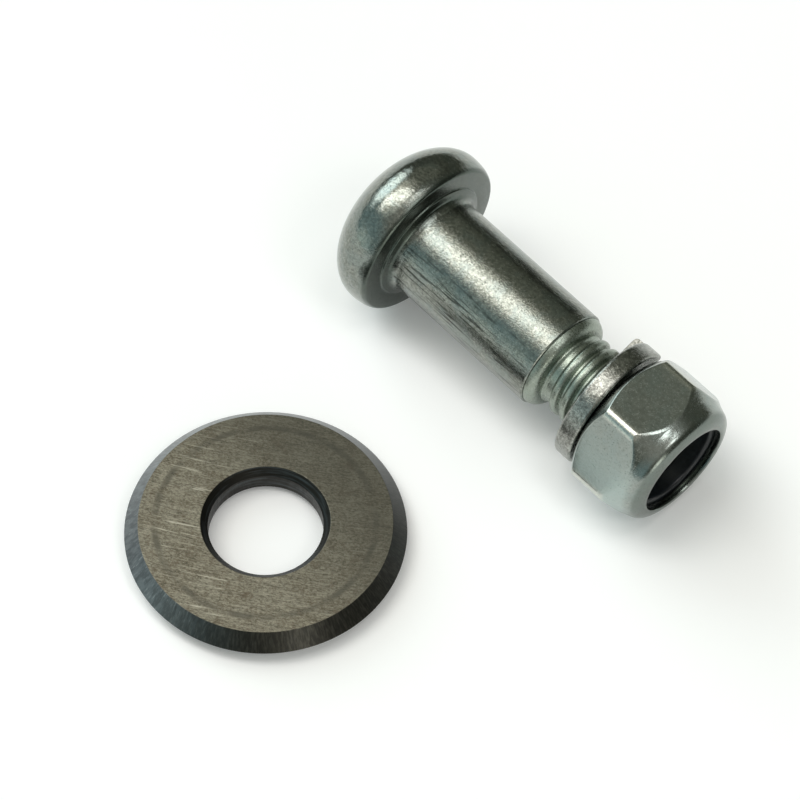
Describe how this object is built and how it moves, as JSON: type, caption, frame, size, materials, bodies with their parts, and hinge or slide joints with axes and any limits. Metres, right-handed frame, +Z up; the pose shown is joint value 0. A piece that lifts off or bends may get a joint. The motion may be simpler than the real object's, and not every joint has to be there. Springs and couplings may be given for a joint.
{
  "type": "tile cutter wheel",
  "caption": "Round scoring wheel with a bevelled cutting edge and a plain bore, shown beside its domed shoulder bolt, spring washer and nylon-insert lock nut.",
  "frame": {"origin": "centre of the wheel's bore, halfway through its thickness", "axes": "+Z up along the wheel's bore; the wheel lies flat, and the bolt lies beside it on its side, to the right (+X) and behind (+Y), with its nut towards +X and -Y"},
  "size_m": [0.0528, 0.048, 0.0168],
  "materials": {
    "ground_steel": "fine ground hard metal, dull warm grey faces and blue-grey bevels",
    "zinc_bolt": "bright zinc plate, mottled, with draw lines along the shoulder",
    "zinc_washer": "dull zinc plate, grey-brown and mottled",
    "zinc_nut": "bright zinc plate, satin flats",
    "nylon": "dark navy moulded nylon"
  },
  "bodies": {
    "wheel_and_bolt": {"cutting_wheel": "ground_steel", "axle_bolt": "zinc_bolt"},
    "washer": {"spring_washer": "zinc_washer"},
    "nut": {"lock_nut": "zinc_nut", "nylon_insert": "nylon"}
  },
  "joints": [
    {"name": "washer_slide", "type": "slide", "parent": "wheel_and_bolt", "child": "washer", "axis": [0.7059, -0.7059, -0.0585], "range_m": [-0.0025, 0.006]},
    {"name": "nut_turn", "type": "hinge", "parent": "washer", "child": "nut", "pos_m": [0.03102, 0.00988, 0.00535], "axis": [0.7059, -0.7059, -0.0585], "range_deg": [-720, 1728]}
  ],
  "couplings": [
    {"joint": "washer_slide", "follows": "nut_turn", "m_per_rad": 0.00019894}
  ]
}
